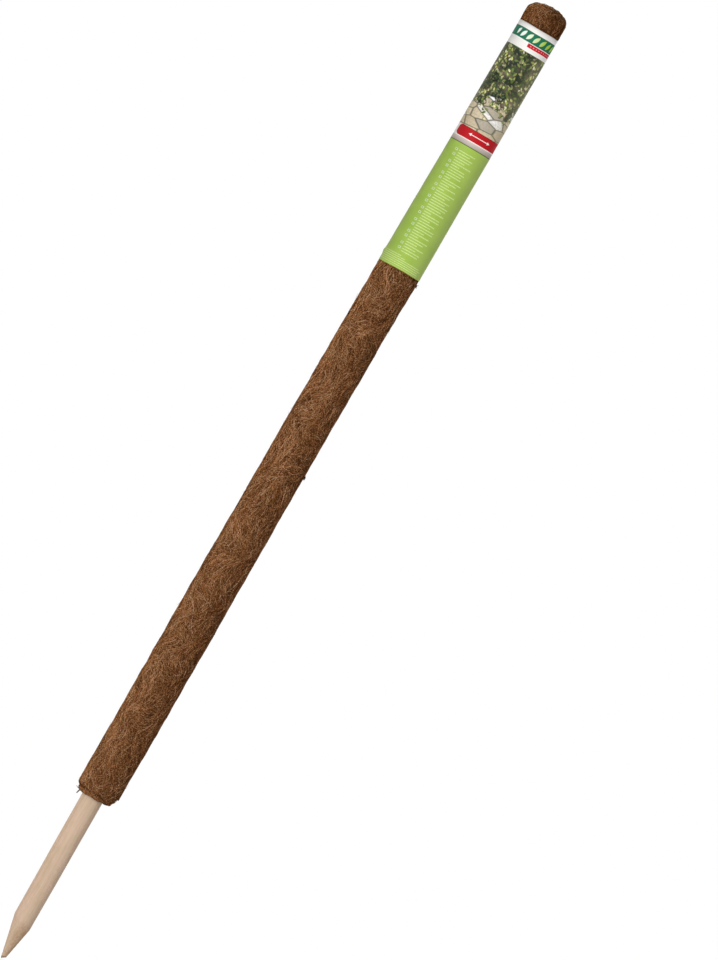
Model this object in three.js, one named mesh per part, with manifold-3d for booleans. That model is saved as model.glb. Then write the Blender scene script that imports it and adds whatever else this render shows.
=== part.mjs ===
// Coir plant support pole: a pointed wooden stake wrapped in two layers of coir matting, closed at
// the top by a domed coir cap, with a lapped paper band sleeved round its upper end.
// Millimetres, +Z up the pole. The origin is on the stake's axis at the soil line, where the coir
// begins. The front of the band faces -Y, and its lap and the outer seam lie at the back, +Y.

import * as THREE from "three";
import { mergeVertices } from "three/addons/utils/BufferGeometryUtils.js";
import Module from "manifold-3d";

// Driving dimensions: the pole and its stake
const POLE_LENGTH = 1100;
const STAKE_DIAMETER = 22;
const STAKE_BARE_LENGTH = 185;
const POINT_LENGTH = 43;
const POINT_TIP_DIAMETER = 3;
const POINT_OFFSET = 0.9;

// Driving dimensions: the coir
const INNER_MAT_THICKNESS = 5.3;
const OUTER_MAT_THICKNESS = 5.2;
const OUTER_MAT_SWELL = 0.6;
const OUTER_MAT_RISE = 5;
const OUTER_MAT_BEVEL_WIDTH = 2.4;
const OUTER_MAT_BEVEL_HEIGHT = 6;
const SHOULDER_HEIGHT = 1.5;
const SEAM_WIDTH = 1;
const INNER_SEAM_ANGLE = 0;
const OUTER_SEAM_ANGLE = Math.PI / 2;
const CAP_HEIGHT = 12;

// Driving dimensions: the staples along the inner seam
const STAPLE_COUNT = 5;
const STAPLE_WIDTH = 9;
const STAPLE_WIRE = 1;
const STAPLE_BITE = 6;
const STAPLE_SINK = 0.4;
const STAPLE_END_MARGIN = 45;

// Driving dimensions: the paper band
const BAND_LENGTH = 279;
const BAND_TOP_MARGIN = 26;
const PAPER_THICKNESS = 0.3;
const LAP_WIDTH = 14;
const LAP_RAMP_WIDTH = 6;
const GLUE_WIDTH = 9;
const GLUE_THICKNESS = 0.15;
const GLUE_END_MARGIN = 6;

// Clearances between neighbours, and the facets of a round piece
const FIT_GAP = 0.3;
const GLUE_GAP = 0.1;
const SIDES = 64;
const DOME_STEPS = 8;

// Heights that follow from the driving dimensions
const TIP_Z = -STAKE_BARE_LENGTH;
const TOP_Z = TIP_Z + POLE_LENGTH;
const CAP_Z = TOP_Z - CAP_HEIGHT;
const MAT_TOP_Z = CAP_Z - FIT_GAP;
const BAND_TOP_Z = TOP_Z - BAND_TOP_MARGIN;
const BAND_BOTTOM_Z = BAND_TOP_Z - BAND_LENGTH;

// Radii, from the axis outwards
const STAKE_RADIUS = STAKE_DIAMETER / 2;
const INNER_MAT_BORE = STAKE_RADIUS + FIT_GAP;
const INNER_MAT_RADIUS = INNER_MAT_BORE + INNER_MAT_THICKNESS;
const OUTER_MAT_BORE = INNER_MAT_RADIUS + FIT_GAP;
const PRESSED_RADIUS = OUTER_MAT_BORE + OUTER_MAT_THICKNESS;
const FREE_RADIUS = PRESSED_RADIUS + OUTER_MAT_SWELL;
const BAND_BORE = PRESSED_RADIUS + FIT_GAP;

// Colours, roughness and metalness of the materials
const WOOD = { color: 0xcdb18f, roughness: 0.65, metalness: 0 };
const COIR = { color: 0x6f4a2d, roughness: 0.95, metalness: 0 };
const PAPER = { color: 0xe9eae2, roughness: 0.5, metalness: 0 };
const GLUE = { color: 0xd9cfae, roughness: 0.4, metalness: 0 };
const STEEL = { color: 0x9a9b9c, roughness: 0.4, metalness: 1 };

const wasm = await Module();
wasm.setup();

const pole = new THREE.Group();

// A closed geometry as a solid that can be cut.
function solidOf(geometry) {
  const bare = geometry.clone();
  bare.deleteAttribute("normal");
  bare.deleteAttribute("uv");
  const merged = mergeVertices(bare);
  const mesh = new wasm.Mesh({
    numProp: 3,
    vertProperties: new Float32Array(merged.attributes.position.array),
    triVerts: new Uint32Array(merged.index.array),
  });
  return new wasm.Manifold(mesh);
}

// A cut solid as a geometry again.
function geometryOf(solid) {
  const mesh = solid.getMesh();
  const geometry = new THREE.BufferGeometry();
  geometry.setAttribute("position", new THREE.BufferAttribute(mesh.vertProperties, 3));
  geometry.setIndex(new THREE.BufferAttribute(mesh.triVerts, 1));
  geometry.computeVertexNormals();
  return geometry;
}

function addPiece(name, geometry, finish) {
  const mesh = new THREE.Mesh(geometry, new THREE.MeshStandardMaterial(finish));
  mesh.name = name;
  pole.add(mesh);
}

// A profile of [radius, height] points turned round the Z axis.
function turned(profile) {
  const points = profile.map(([radius, height]) => new THREE.Vector2(radius, height));
  return new THREE.LatheGeometry(points, SIDES).rotateX(Math.PI / 2);
}

// A tube wall: the outer profile from bottom to top, closed along the bore.
function wall(bore, outerProfile) {
  const bottom = outerProfile[0][1];
  const top = outerProfile[outerProfile.length - 1][1];
  return turned([[bore, bottom], ...outerProfile, [bore, top], [bore, bottom]]);
}

// The slot between the two edges of a mat that is bent round the pole.
function seamSlot(angle, bore, radius, bottom, top) {
  const depth = radius - bore + 2 * FIT_GAP;
  const height = top - bottom + 2 * FIT_GAP;
  return new THREE.BoxGeometry(depth, SEAM_WIDTH, height)
    .translate((bore + radius) / 2, 0, (bottom + top) / 2)
    .rotateZ(angle);
}

// Staples lie across the inner seam. In a staple's own frame X runs along its crown, Y points out
// of the pole and Z runs up it.
const stapleHalfWidth = STAPLE_WIDTH / 2;
const stapleCrownY = Math.sqrt((INNER_MAT_RADIUS - STAPLE_SINK) ** 2 - stapleHalfWidth ** 2);
const stapleWoodY = Math.sqrt(STAKE_RADIUS ** 2 - stapleHalfWidth ** 2);
const staplePointY = stapleWoodY - STAPLE_BITE;

function extruded(outline, depth) {
  const shape = new THREE.Shape(outline.map(([x, y]) => new THREE.Vector2(x, y)));
  return new THREE.ExtrudeGeometry(shape, { depth, bevelEnabled: false, steps: 1 });
}

function placedStaple(geometry, depth, height) {
  return geometry
    .translate(0, 0, height - depth / 2)
    .rotateZ(INNER_SEAM_ANGLE - Math.PI / 2);
}

function stapleGeometry(height) {
  const legInside = stapleHalfWidth - STAPLE_WIRE;
  const underCrown = stapleCrownY - STAPLE_WIRE;
  const chisel = staplePointY + STAPLE_WIRE;
  const outline = [
    [-stapleHalfWidth, stapleCrownY],
    [-stapleHalfWidth, chisel],
    [-legInside, staplePointY],
    [-legInside, underCrown],
    [legInside, underCrown],
    [legInside, staplePointY],
    [stapleHalfWidth, chisel],
    [stapleHalfWidth, stapleCrownY],
  ];
  return placedStaple(extruded(outline, STAPLE_WIRE), STAPLE_WIRE, height);
}

// The groove and the two holes that a staple makes, open to the surface of the inner mat.
function stapleCut(height) {
  const outside = stapleHalfWidth + FIT_GAP;
  const legInside = stapleHalfWidth - STAPLE_WIRE - FIT_GAP;
  const underCrown = stapleCrownY - STAPLE_WIRE - FIT_GAP;
  const holeEnd = staplePointY - FIT_GAP;
  const depth = STAPLE_WIRE + 2 * FIT_GAP;
  const outline = [
    [-outside, OUTER_MAT_BORE],
    [-outside, holeEnd],
    [-legInside, holeEnd],
    [-legInside, underCrown],
    [legInside, underCrown],
    [legInside, holeEnd],
    [outside, holeEnd],
    [outside, OUTER_MAT_BORE],
  ];
  return placedStaple(extruded(outline, depth), depth, height);
}

const stapleSpan = MAT_TOP_Z - 2 * STAPLE_END_MARGIN;
const stapleHeights = [];
for (let i = 0; i < STAPLE_COUNT; i += 1) {
  stapleHeights.push(STAPLE_END_MARGIN + (stapleSpan * i) / (STAPLE_COUNT - 1));
}
const stapleCuts = stapleHeights.map((height) => solidOf(stapleCut(height)));

// Stake: a dowel sharpened by a cone whose axis lies a little beside the dowel's own
function stakeGeometry() {
  const dowel = solidOf(
    turned([
      [0, TIP_Z],
      [STAKE_RADIUS, TIP_Z],
      [STAKE_RADIUS, MAT_TOP_Z],
      [0, MAT_TOP_Z],
    ]),
  );
  const tipRadius = POINT_TIP_DIAMETER / 2;
  const flare = (STAKE_RADIUS - tipRadius) / POINT_LENGTH;
  const coneTopRadius = tipRadius + flare * POLE_LENGTH;
  const cone = solidOf(
    turned([
      [0, TIP_Z],
      [tipRadius, TIP_Z],
      [coneTopRadius, TOP_Z],
      [0, TOP_Z],
    ]).translate(POINT_OFFSET, 0, 0),
  );
  let stake = dowel.intersect(cone);
  for (const cut of stapleCuts) {
    stake = stake.subtract(cut);
  }
  return geometryOf(stake);
}

// Inner mat: one turn of coir round the stake, stapled along its seam
function innerMatGeometry() {
  const profile = [
    [INNER_MAT_RADIUS, 0],
    [INNER_MAT_RADIUS, MAT_TOP_Z],
  ];
  const slot = seamSlot(INNER_SEAM_ANGLE, INNER_MAT_BORE, INNER_MAT_RADIUS, 0, MAT_TOP_Z);
  let mat = solidOf(wall(INNER_MAT_BORE, profile)).subtract(solidOf(slot));
  for (const cut of stapleCuts) {
    mat = mat.subtract(cut);
  }
  return geometryOf(mat);
}

// Outer mat: a second turn that starts higher, with a worn lower edge. Below the paper band it
// swells out, and the band rests on that shoulder.
function outerMatGeometry() {
  const shoulderTop = BAND_BOTTOM_Z - FIT_GAP;
  const profile = [
    [FREE_RADIUS - OUTER_MAT_BEVEL_WIDTH, OUTER_MAT_RISE],
    [FREE_RADIUS, OUTER_MAT_RISE + OUTER_MAT_BEVEL_HEIGHT],
    [FREE_RADIUS, shoulderTop - SHOULDER_HEIGHT],
    [PRESSED_RADIUS, shoulderTop],
    [PRESSED_RADIUS, MAT_TOP_Z],
  ];
  const slot = seamSlot(OUTER_SEAM_ANGLE, OUTER_MAT_BORE, FREE_RADIUS, OUTER_MAT_RISE, MAT_TOP_Z);
  return geometryOf(solidOf(wall(OUTER_MAT_BORE, profile)).subtract(solidOf(slot)));
}

// Cap: a half ellipse turned round the axis, seated on the stake and both mats
function capGeometry() {
  const profile = [[0, CAP_Z]];
  for (let i = 0; i < DOME_STEPS; i += 1) {
    const angle = (Math.PI / 2) * (i / DOME_STEPS);
    profile.push([PRESSED_RADIUS * Math.cos(angle), CAP_Z + CAP_HEIGHT * Math.sin(angle)]);
  }
  profile.push([0, TOP_Z]);
  return turned(profile);
}

// Paper band: a strip bent round the coir, whose outer end climbs a ramp and laps over the inner
// end. Angles along the strip are counted from its inner edge.
const lapAngle = LAP_WIDTH / BAND_BORE;
const lapRampAngle = LAP_RAMP_WIDTH / BAND_BORE;
const lapStart = Math.PI / 2 - lapAngle / 2;
const lapLift = PAPER_THICKNESS + GLUE_THICKNESS + 2 * GLUE_GAP;

function paperRadius(angle) {
  const climb = (angle - (2 * Math.PI - lapRampAngle)) / lapRampAngle;
  return BAND_BORE + lapLift * THREE.MathUtils.smoothstep(climb, 0, 1);
}

// A strip of one thickness between two angles, its inner face at the given radius.
function stripGeometry(from, to, radiusAt, thickness, length, bottom) {
  const steps = Math.ceil((SIDES * (to - from)) / (2 * Math.PI)) + DOME_STEPS;
  const inside = [];
  const outside = [];
  for (let i = 0; i <= steps; i += 1) {
    const angle = from + ((to - from) * i) / steps;
    const direction = [Math.cos(lapStart + angle), Math.sin(lapStart + angle)];
    const radius = radiusAt(angle);
    inside.unshift(direction.map((part) => part * radius));
    outside.push(direction.map((part) => part * (radius + thickness)));
  }
  return extruded([...outside, ...inside], length).translate(0, 0, bottom);
}

function bandGeometry() {
  const end = 2 * Math.PI + lapAngle;
  return stripGeometry(0, end, paperRadius, PAPER_THICKNESS, BAND_LENGTH, BAND_BOTTOM_Z);
}

function glueGeometry() {
  const halfAngle = GLUE_WIDTH / BAND_BORE / 2;
  const radius = BAND_BORE + PAPER_THICKNESS + GLUE_GAP;
  const length = BAND_LENGTH - 2 * GLUE_END_MARGIN;
  return stripGeometry(
    lapAngle / 2 - halfAngle,
    lapAngle / 2 + halfAngle,
    () => radius,
    GLUE_THICKNESS,
    length,
    BAND_BOTTOM_Z + GLUE_END_MARGIN,
  );
}

addPiece("stake", stakeGeometry(), WOOD);
addPiece("inner_coir_mat", innerMatGeometry(), COIR);
addPiece("outer_coir_mat", outerMatGeometry(), COIR);
addPiece("top_coir_cap", capGeometry(), COIR);
stapleHeights.forEach((height, i) => {
  addPiece(`seam_staple_${i + 1}`, stapleGeometry(height), STEEL);
});
addPiece("paper_band", bandGeometry(), PAPER);
addPiece("band_glue_strip", glueGeometry(), GLUE);

export default pole;
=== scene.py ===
"""A coir plant pole on a white ground: wooden stake, felted coir, domed top and a paper band."""

import math
from functools import partialmethod

import bpy
import numpy as np
from mathutils import Matrix, Vector

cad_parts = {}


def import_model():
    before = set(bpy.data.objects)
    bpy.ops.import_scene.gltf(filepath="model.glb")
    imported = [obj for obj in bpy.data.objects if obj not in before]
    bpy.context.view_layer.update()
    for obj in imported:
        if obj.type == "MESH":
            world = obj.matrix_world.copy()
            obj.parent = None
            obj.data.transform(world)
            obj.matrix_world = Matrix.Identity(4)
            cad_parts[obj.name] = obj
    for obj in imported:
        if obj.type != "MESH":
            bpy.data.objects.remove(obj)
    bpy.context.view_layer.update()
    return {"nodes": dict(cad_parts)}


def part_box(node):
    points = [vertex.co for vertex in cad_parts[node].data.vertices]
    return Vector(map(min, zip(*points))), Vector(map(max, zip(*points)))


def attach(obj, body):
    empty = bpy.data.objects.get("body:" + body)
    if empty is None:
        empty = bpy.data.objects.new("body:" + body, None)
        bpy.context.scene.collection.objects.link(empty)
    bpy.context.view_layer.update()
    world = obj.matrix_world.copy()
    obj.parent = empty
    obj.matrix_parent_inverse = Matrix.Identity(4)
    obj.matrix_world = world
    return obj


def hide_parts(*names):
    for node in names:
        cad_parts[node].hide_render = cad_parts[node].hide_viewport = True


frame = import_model()

MM = 0.001
TURN = 2 * math.pi

# Sizes taken from the frame, in metres
TIP_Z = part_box("stake")[0].z
STAKE_TOP_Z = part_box("stake")[1].z
STAKE_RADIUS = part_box("stake")[1].x
INNER_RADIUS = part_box("inner_coir_mat")[1].x
MAT_TOP_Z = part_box("outer_coir_mat")[1].z
FREE_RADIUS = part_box("outer_coir_mat")[1].x
CAP_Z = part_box("top_coir_cap")[0].z
TOP_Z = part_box("top_coir_cap")[1].z
PRESSED_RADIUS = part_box("top_coir_cap")[1].x
BAND_LOW_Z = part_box("paper_band")[0].z
BAND_TOP_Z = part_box("paper_band")[1].z
BAND_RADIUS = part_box("paper_band")[1].x
BAND_LENGTH = BAND_TOP_Z - BAND_LOW_Z
GLUE_LOW_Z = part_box("band_glue_strip")[0].z
GLUE_TOP_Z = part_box("band_glue_strip")[1].z
GLUE_HALF_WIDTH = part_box("band_glue_strip")[1].x

# The stake: its blunt point, its lean and girth, the marks of its cutter, its mesh
POINT_LENGTH = 43 * MM
POINT_TIP_RADIUS = 2.0 * MM
POINT_OFFSET = 0.85 * MM
TIP_OFFSET = 1.55 * MM
TIP_SLANT = 0.65
SOIL_HEIGHT = 2.6 * MM
SOIL_DARK = 0.6 * MM
LEAN_LOW = 0.35 * MM
LEAN_HIGH = -0.9 * MM
GIRTH_LOW = 0.989
GIRTH_HIGH = 1.036
SHAFT_UNEVEN = 0.05 * MM
CHATTER_DEPTH = 0.05 * MM
CHATTER_PITCH = 1.7 * MM
POINT_ZONE = POINT_LENGTH + 12 * MM
POINT_STEP = 0.8 * MM
SHAFT_ROWS = 90
STAKE_SIDES = 112

# The coir's layers: how they fit, and how their fibres stand on them
STAKE_FIT = 0.2 * MM
LAYER_FIT = 0.15 * MM
FIBRE_BED = 0.45 * MM
FIBRE_LOFT = 0.6 * MM
BAND_CLEAR = 0.1 * MM
BAND_PRESS = 0.35 * MM
CLEAR_BELOW = 2 * MM
CLEAR_ABOVE = 0.4 * MM
FREE_ROOM = 3 * MM

# The coir's lower end: the inner layer's lip, and the notch over it
LOWER_Z = -0.1 * MM
LIP_HEIGHT = 5.8 * MM
LIP_HEIGHT_RIGHT = 4.5 * MM
LIP_RADIUS = 19.5 * MM
LIP_RADIUS_RIGHT = 18.7 * MM
LIP_ROUND = 4.0 * MM
LIP_ROUND_RIGHT = 2.0 * MM
LIP_TILT = 0.55 * MM
LIP_SHIFT = 0.3
LIP_TUCK = 0.8 * MM
LIP_EASE = 2 * MM
NOTCH_DEPTH = 2.0 * MM
NOTCH_WIDTH = 0.8 * MM
NOTCH_EASED = 0.6
CHAMFER_DEPTH = 2.6 * MM
CHAMFER_HEIGHT = 9 * MM
RAGGED = 0.5 * MM
EDGE_SHY = 0.8 * MM
INNER_GRAIN = 0.2 * MM
OUTER_GRAIN = 0.14 * MM
INNER_RISE = 0.4 * MM
OUTER_RISE = 0.3 * MM

# The coir's side: dent, lumps, wander, swell, brim, seam
DENT_DEPTH = 1.8 * MM
DENT_Z = 8.6 * MM
DENT_HEIGHT = 1.3 * MM
LUMP = 0.18 * MM
PRESSED_FLAT = 0.6
WANDER = 0.7 * MM
WANDER_PERIOD = 0.8
WANDER_START = 0.05
SWELL = 0.6 * MM
SWELL_Z = 0.2
SWELL_REACH = 0.08
SLIM = 0.12 * MM
LEFT_GAIN = 0.35 * MM
BRIM_GAIN = 0.4 * MM
BRIM_ROLL = 0.6 * MM
BRIM_REACH = 8 * MM
ROLL_REACH = 2.5 * MM
PINCH_REACH = 4 * MM
PINCH_STOP = 1 * MM
SEAM_ANGLE = math.pi / 2
SEAM_DEPTH = 1.6 * MM
SEAM_WIDTH = 0.9 * MM
SEAM_STEPS = (0.3, 0.8, 1.4, 2.2)

# The dome: its outline, and what draws it in or lifts it
DOME_FULLNESS = 2.6
DOME_STEPS = 90
DOME_EASE = 6 * MM
DOME_UNEVEN = 0.35 * MM
CREASE_DEPTH = 1.6 * MM
CREASE_X = 3.9 * MM
CREASE_SLANT = 0.3
CREASE_WIDTH = 0.9 * MM
PLEAT_PITCH = 5 * MM
PLEAT_DEPTH = 0.8 * MM
PLEAT_X = -16 * MM
PLEAT_Y = -4 * MM
PLEATS_FROM = -2 * MM
PLEATS_EASE = 6 * MM
LEFT_DENT = 0.6 * MM
LEFT_DENT_FROM = 4 * MM
LEFT_DENT_EASE = 9 * MM
CROWN_HEIGHT = 0.9 * MM
CROWN_WIDTH = 4.5 * MM
LOBE_HEIGHT = 0.6 * MM
LOBE_X = 8 * MM
LOBE_WIDTH = 3.2 * MM
CAP_CORE = 2 * MM
CROWN_GAP = 0.3 * MM

# Meshes of the coir: rows close together at the lower edge, wider above it
COIR_SIDES = 150
EDGE_ZONE = 14 * MM
INNER_EDGE_ROWS = 20
INNER_EDGE_STEP = 0.7 * MM
INNER_ROWS = 30
OUTER_EDGE_ROWS = 18
OUTER_EDGE_STEP = 0.8 * MM
OUTER_STEP = 2.4 * MM
DOME_ROWS = 44

# The step whose powers spread things evenly over three ranges at once: 1 / x, where x ** 4 = x + 1
EVEN_STEP = 1 / 1.2207440846

# The loose fibres: their shape, the flow that they follow, where they lie
FIBRE_POINTS = 6
FIBRE_STEPS = np.linspace(-0.5, 0.5, FIBRE_POINTS)
FIBRE_SIDES = 3
FIBRE_ARCH = 0.22 * MM
FLOW_LEAN = 0.15
FLOW_TURN = 0.5
FLOW_SPREAD = 0.42
FLOW_SHARE = 0.8
FLOW_CURL = 0.5
DOME_SHARE = 0.02
DOME_MARGIN = 5 * MM
SIDE_MARGIN = 3 * MM
HANGING_SHARE = 0.45
HANGING_FROM = -0.9
HANGING_EASE = 0.8
EDGE_GAP = 0.2 * MM
LIP_FIBRE_FORM = (3 * MM, 12 * MM, 1.6)
LIP_FIBRE_SIZE = (0.34, 0.62)
LIP_FIBRE_LIFT = (-0.3, 0.2, 0.5)

# Shades of the fibres, as changes of their tone: a random tone and flecks, then painted shade on the
# dome's top, a painted highlight on its crest and painted shadow along the band's edges
FIBRE_SHADES = 0.34
FLECKS = 0.28
DARK_TOP = -0.15
DARK_TOP_RIGHT = -0.31
DARK_TOP_LEFT = -0.12
LIGHT_CREST = 0.14
DARK_RIM = -0.2
DARK_FOOT = -0.18
UNDER_FADE = 16 * MM

# Painted shade of the coir from its left to its right, lighter left of the middle and darker on the
# right: share of the width, and 0.5 for no change
SIDE_SHADES = (
    (0.0, 0.25), (0.06, 0.46), (0.3, 0.58), (0.5, 0.51), (0.65, 0.37), (0.9, 0.36), (1.0, 0.2),
)

# Ends of fibre that stick out: angle, height, sink, count, length, outward and downward lean, scatter
TUFTS = (
    (0.0, 386 * MM, 0.5 * MM, 22, 5.5 * MM, 0.4, 0.9, 0.2),
    (0.08, 606 * MM, 0.5 * MM, 12, 4.0 * MM, 0.6, 0.6, 0.25),
    (math.pi, 0.5 * MM, 0.3 * MM, 3, 5.5 * MM, 0.9, -0.4, 0.06),
    (math.pi, 0.5 * MM, 0.3 * MM, 3, 6.5 * MM, 0.3, 1.0, 0.06),
    (0.0, 13.5 * MM, 0.2 * MM, 16, 3.0 * MM, 0.25, 1.0, 0.15),
)
TUFT_RADIUS = 0.3 * MM
TUFT_AROUND = 0.15
TUFT_UP = 4 * MM
TUFT_SHORTEST = 0.6
TUFT_TAPER = 0.4
TUFT_TONE = 0.3
TUFT_FACING = (0.1, -1.0, 0.2)

# Maps of the pieces, as shares of their width: a fibre's cell, then the band's faces and edges
CELL_START = 0.12
CELL_SPAN = 0.7
CELL_TIP = ((0.9, 0.1), (0.97, 0.1), (0.9, 0.2))
CELL_TIP_STEP = (0, 0.5)
MAP_START = 0.02
MAP_LENGTH = 0.96
PRINT_WIDTH = 0.8
BARE_START = 0.85
BARE_WIDTH = 0.07
EDGES_START = 0.91
EDGE_PITCH = 0.014
EDGE_WIDTH = 0.006

# The paper band: sheet, fold, lap, glue and meshes
PAPER = 0.3 * MM
BAND_TOP_SHRINK = 0.5 * MM
BAND_LOW_TRIM = 0.9 * MM
BAND_FLARE = 0.95 * MM
BAND_SQUEEZE = 0.5 * MM
BAND_SQUEEZE_LOW = 0.95 * MM
RIPPLE = 0.08 * MM
RIPPLE_REACH = 12 * MM
RIPPLE_ROWS = 26
TRIM_WANDER = 0.25 * MM
FOLD_Z = 621.5 * MM
FOLD_HEIGHT = 0.8 * MM
FOLD_WIDTH = 2.8 * MM
FOLD_TURN = 0.25
LAP_WIDTH = 14 * MM
LAP_RAMP = 6 * MM
LAP_LIFT = 0.65 * MM
BAND_ROWS = 84
BAND_COLUMNS = 140
LAP_COLUMNS = 24
FRONT = -math.pi / 2
GLUE_GAP = 0.06 * MM
GLUE = 0.18 * MM
GLUE_UNEVEN = 0.06
GLUE_ROWS = 90
GLUE_COLUMNS = 13

# The print, in millimetres: bounds down from the band's top edge, or across from its front
STRIPE = (5.4, 16.2)
LEAF_MIDDLE = 10.8
LEAF_PITCH = 8.0
LEAF_HALVES = (4.8, 2.0)
LEAF_SLANT = 0.95
LEAF_BLUR = 0.1
LEAVES_ACROSS = (-21, 42)
STRIP = (16.9, 21.0)
STRIP_ACROSS = (-2, 34)
DASHES = (18.3, 19.6)
DASHES_ACROSS = (0, 31)
DASH_PITCH = 3.4
PANEL = (25.6, 119.5)
STONE_SCALE = 0.085
PAVING_FROM = (86, 89)
HEDGE_TO = (97, 92)
RED = (119.5, 130.8)
RED_SHADE = (120.4, 119.6)
RED_MIDDLE = 125
RED_HALF = 5.5
RED_START = -26.5
RED_CORNER = 4
ARROW_MIDDLE = 4
ARROW_SHAFT = 10
ARROW_HEAD = (9.5, 13)
ARROW_HALF = 1.6
SHAFT_HALF = 0.38
SILVER = (131.7, 136.4)
SILVER_SHADE = (131.7, 135.8)
FIELD_TOP = 137.3
BARS = (143, 261)
BAR_PITCH = 2.7
BAR_START = -8.5
BAR_ENDS = (8, 14)
LAST_BAR_ENDS = (-2, 8)
MARK_ACROSS = (-13.6, -10.4)
PIP_ACROSS = (-12.6, -11.4)
RULES = (263.5, 277)
LONG_RULES = 267.5
RULE_PITCH = 2.0
RULE_START = -31
RULE_ENDS = (-6, 2)
LONG_RULE = 22

# The photograph's frame
IMAGE_HEIGHT = 960
METRES_PER_PIXEL = 1.00176 * MM
CAMERA_ROLL = math.radians(30.1)
CAMERA_AIM = Vector((0.07045, 0, 0.40895))
CAMERA_LENS = 400
SENSOR = 36

# The room
ROOM_LIGHT = 0.42
FLOOR_GLOW = 0.42
FLOOR_SHOWN = 0.3
FLOOR_RADIUS = 3.0
FLOOR_DEPTHS = (0.02, 0.0005)
FLOOR_SIDES = 96


def smooth(value):
    """0 below 0, 1 above 1 and an even slope between."""
    value = np.clip(value, 0, 1)
    return value * value * (3 - 2 * value)


def bell(value, reach):
    """1 where a value is 0, falling away on both sides."""
    return np.exp(-(value / reach) ** 2)


def rightward(angle):
    """1 on the right of the pole, 0 on its left, even between."""
    return 0.5 + 0.5 * np.cos(angle)


def sideways(angle, left, right):
    """A size that goes evenly from the pole's left to its right."""
    share = rightward(angle)
    return left * (1 - share) + right * share


def waves(seed, count, shortest, longest):
    """A seeded smooth field over the pole's side, about 1 in size."""
    rng = np.random.default_rng(seed)
    length = shortest * (longest / shortest) ** rng.random(count)
    way = rng.random(count) * TURN
    around = np.round(TURN * FREE_RADIUS * np.cos(way) / length)
    along = TURN * np.sin(way) / length
    phase = rng.random(count) * TURN

    def field(angle, z):
        total = np.zeros(np.broadcast(angle, z).shape)
        for turns, rate, start in zip(around, along, phase):
            total += np.sin(turns * angle + rate * z + start)
        return total * math.sqrt(2 / count)

    return field


coir_lumps = waves(11, 40, 12 * MM, 90 * MM)
coir_grain = waves(12, 50, 3.5 * MM, 10 * MM)
coir_edge = waves(13, 24, 5 * MM, 30 * MM)
dome_lumps = waves(14, 24, 6 * MM, 25 * MM)
coir_flow = waves(15, 30, 25 * MM, 80 * MM)
shaft_bend = waves(21, 12, 60 * MM, 240 * MM)
paper_ripples = waves(41, 16, 30 * MM, 120 * MM)
paper_trim = waves(42, 10, 30 * MM, 140 * MM)
glue_edge = waves(43, 16, 8 * MM, 40 * MM)


def band_radius(angle, z):
    """The paper's inner radius, a little wider at the band's lower edge."""
    down = np.clip((BAND_TOP_Z - z) / BAND_LENGTH, 0, 1)
    squeeze = sideways(angle, BAND_SQUEEZE * (1 - down), BAND_SQUEEZE_LOW * down ** 3)
    flare = (BAND_TOP_SHRINK + BAND_FLARE) * down ** 1.5
    return BAND_RADIUS - PAPER - BAND_TOP_SHRINK + flare - squeeze


def coir_limit(angle, z):
    """The radius that coir may fill, so that the band slides off freely."""
    under = band_radius(angle, z) - BAND_CLEAR
    clear = (z < BAND_LOW_Z - CLEAR_BELOW) | (z > BAND_TOP_Z + CLEAR_ABOVE)
    return np.where(clear, FREE_RADIUS + FREE_ROOM, under)


def lower_edge(angle):
    """Height of the outer layer's lower edge, over the inner layer's lip."""
    return sideways(angle, LIP_HEIGHT, LIP_HEIGHT_RIGHT) + RAGGED * coir_edge(angle, 0 * angle)


def lip_low(angle):
    """Height of the inner layer's lower end, a little higher on the right."""
    return LOWER_Z + LIP_TILT * smooth(np.cos(angle))


def lip_radius(angle, z):
    """Radius of the inner layer below the outer one, rounded at its end."""
    lip = sideways(angle, LIP_RADIUS, LIP_RADIUS_RIGHT) + RAGGED * coir_edge(angle, z + LIP_SHIFT)
    drop = sideways(angle, LIP_ROUND, LIP_ROUND_RIGHT)
    return lip - drop * np.exp(-2 * (z - lip_low(angle)) / drop)


def outer_radius(angle, z):
    """Outer radius of the outer layer, chamfered at its lower right, held in by the band."""
    right = rightward(angle)
    left = 1 - right
    above = z - lower_edge(angle)
    chamfer = CHAMFER_DEPTH * right * (1 - np.clip(above / CHAMFER_HEIGHT, 0, 1))
    sway = WANDER * np.cos(TURN * (z - WANDER_START) / WANDER_PERIOD) * np.cos(angle)
    dent = DENT_DEPTH * right * bell(z - DENT_Z, DENT_HEIGHT)
    swell = SWELL * left * bell(z - SWELL_Z, SWELL_REACH)
    slim = SLIM * right * smooth((z - SWELL_Z) / SWELL_REACH)
    free = FREE_RADIUS - FIBRE_LOFT + sway + swell + LEFT_GAIN * left - slim - chamfer - dent
    pressed = smooth((z - BAND_LOW_Z + PINCH_REACH) / (PINCH_REACH - PINCH_STOP))
    body = free * (1 - pressed) + (band_radius(angle, z) - BAND_PRESS) * pressed
    off_seam = (angle - SEAM_ANGLE + math.pi) % TURN - math.pi
    seam = SEAM_DEPTH * bell(off_seam * FREE_RADIUS, SEAM_WIDTH)
    brim = BRIM_GAIN * smooth((z - BAND_TOP_Z) / BRIM_REACH)
    roll = BRIM_ROLL * right * bell(z - BAND_TOP_Z - ROLL_REACH / 2, ROLL_REACH)
    lumps = LUMP * coir_lumps(angle, z) * (1 - PRESSED_FLAT * pressed)
    return body + brim + roll + lumps - seam


def coir_radius(angle, z):
    """Outer radius of both layers of coir together."""
    above = z - lower_edge(angle)
    outer = smooth(above / NOTCH_WIDTH + 0.5)
    notch = NOTCH_DEPTH * bell(above, NOTCH_WIDTH) * (1 - NOTCH_EASED * rightward(angle))
    radius = lip_radius(angle, z) * (1 - outer) + outer_radius(angle, z) * outer - notch
    return np.minimum(radius, coir_limit(angle, z))


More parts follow.
